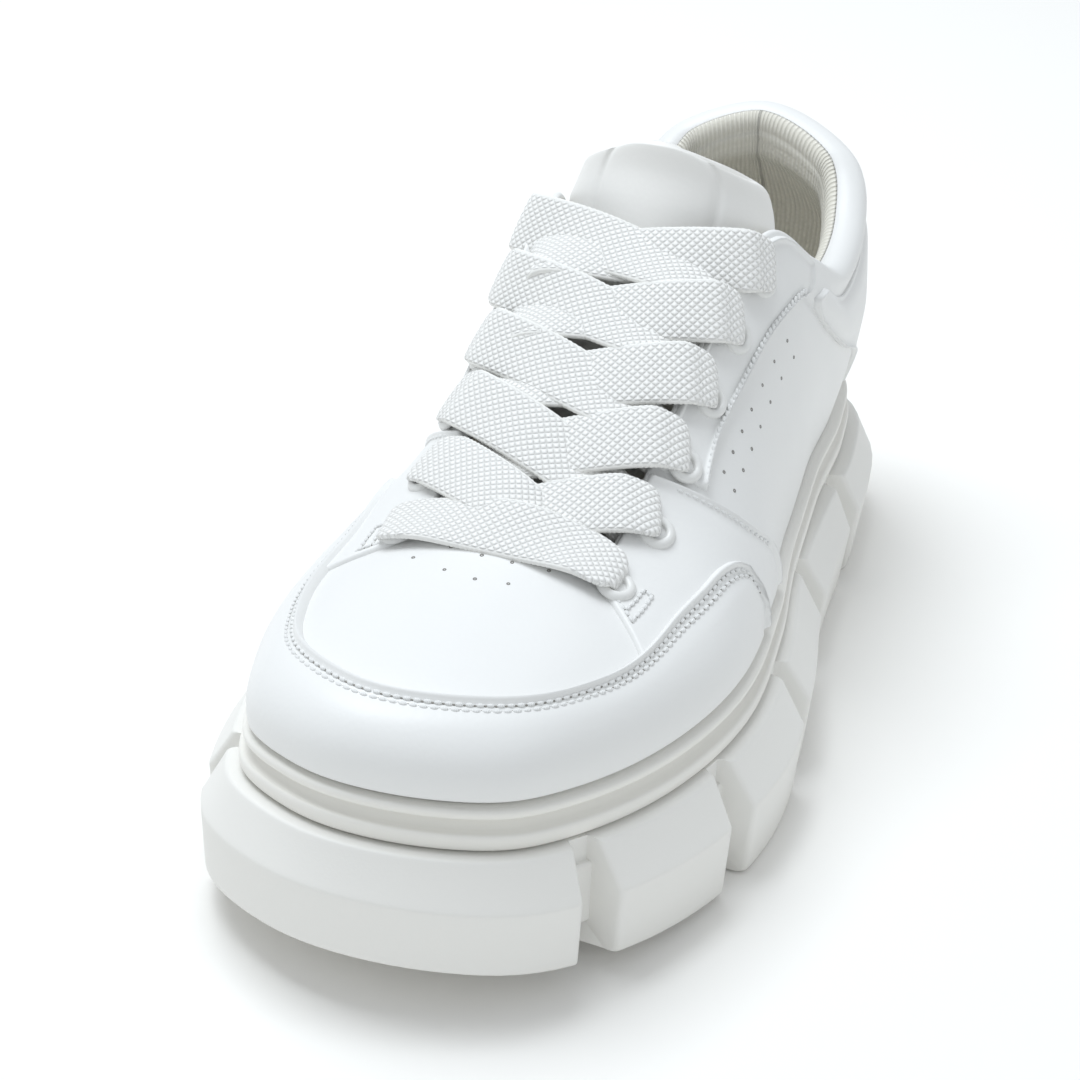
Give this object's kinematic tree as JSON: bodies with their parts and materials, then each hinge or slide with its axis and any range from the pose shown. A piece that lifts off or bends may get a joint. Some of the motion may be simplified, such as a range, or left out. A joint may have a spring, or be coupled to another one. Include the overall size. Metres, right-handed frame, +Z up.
{
  "type": "platform sneaker",
  "caption": "Low white lace-up sneaker for the left foot, on a thick platform sole with square lugs, a padded collar, a toe guard and wide flat laces.",
  "frame": {"origin": "on the ground under the middle of the shoe's box", "axes": "+Z up, toe to -Y, heel to +Y, outer side of the left foot to +X"},
  "size_m": [0.1224, 0.28, 0.1268],
  "materials": {
    "rubber": "moulded off-white rubber, matte satin",
    "foam": "moulded off-white foam rail, matte satin",
    "leather": "smooth off-white synthetic leather, satin",
    "lining": "creamy ribbed knit",
    "eyelet": "white coated ring",
    "webbing": "coarse white flat weave"
  },
  "bodies": {
    "root": {"outsole": "rubber", "midsole": "foam", "upper": "leather", "toe_guard": "leather", "heel_panel": "leather", "tongue": "leather", "insole": "lining", "front_panel_outer": "leather", "eyestay_outer": "leather", "eyelet_outer_1": "eyelet", "eyelet_outer_2": "eyelet", "eyelet_outer_3": "eyelet", "eyelet_outer_4": "eyelet", "eyelet_outer_5": "eyelet", "eyelet_outer_6": "eyelet", "front_panel_inner": "leather", "eyestay_inner": "leather", "eyelet_inner_1": "eyelet", "eyelet_inner_2": "eyelet", "eyelet_inner_3": "eyelet", "eyelet_inner_4": "eyelet", "eyelet_inner_5": "eyelet", "eyelet_inner_6": "eyelet", "laces": "webbing"}
  },
  "joints": []
}
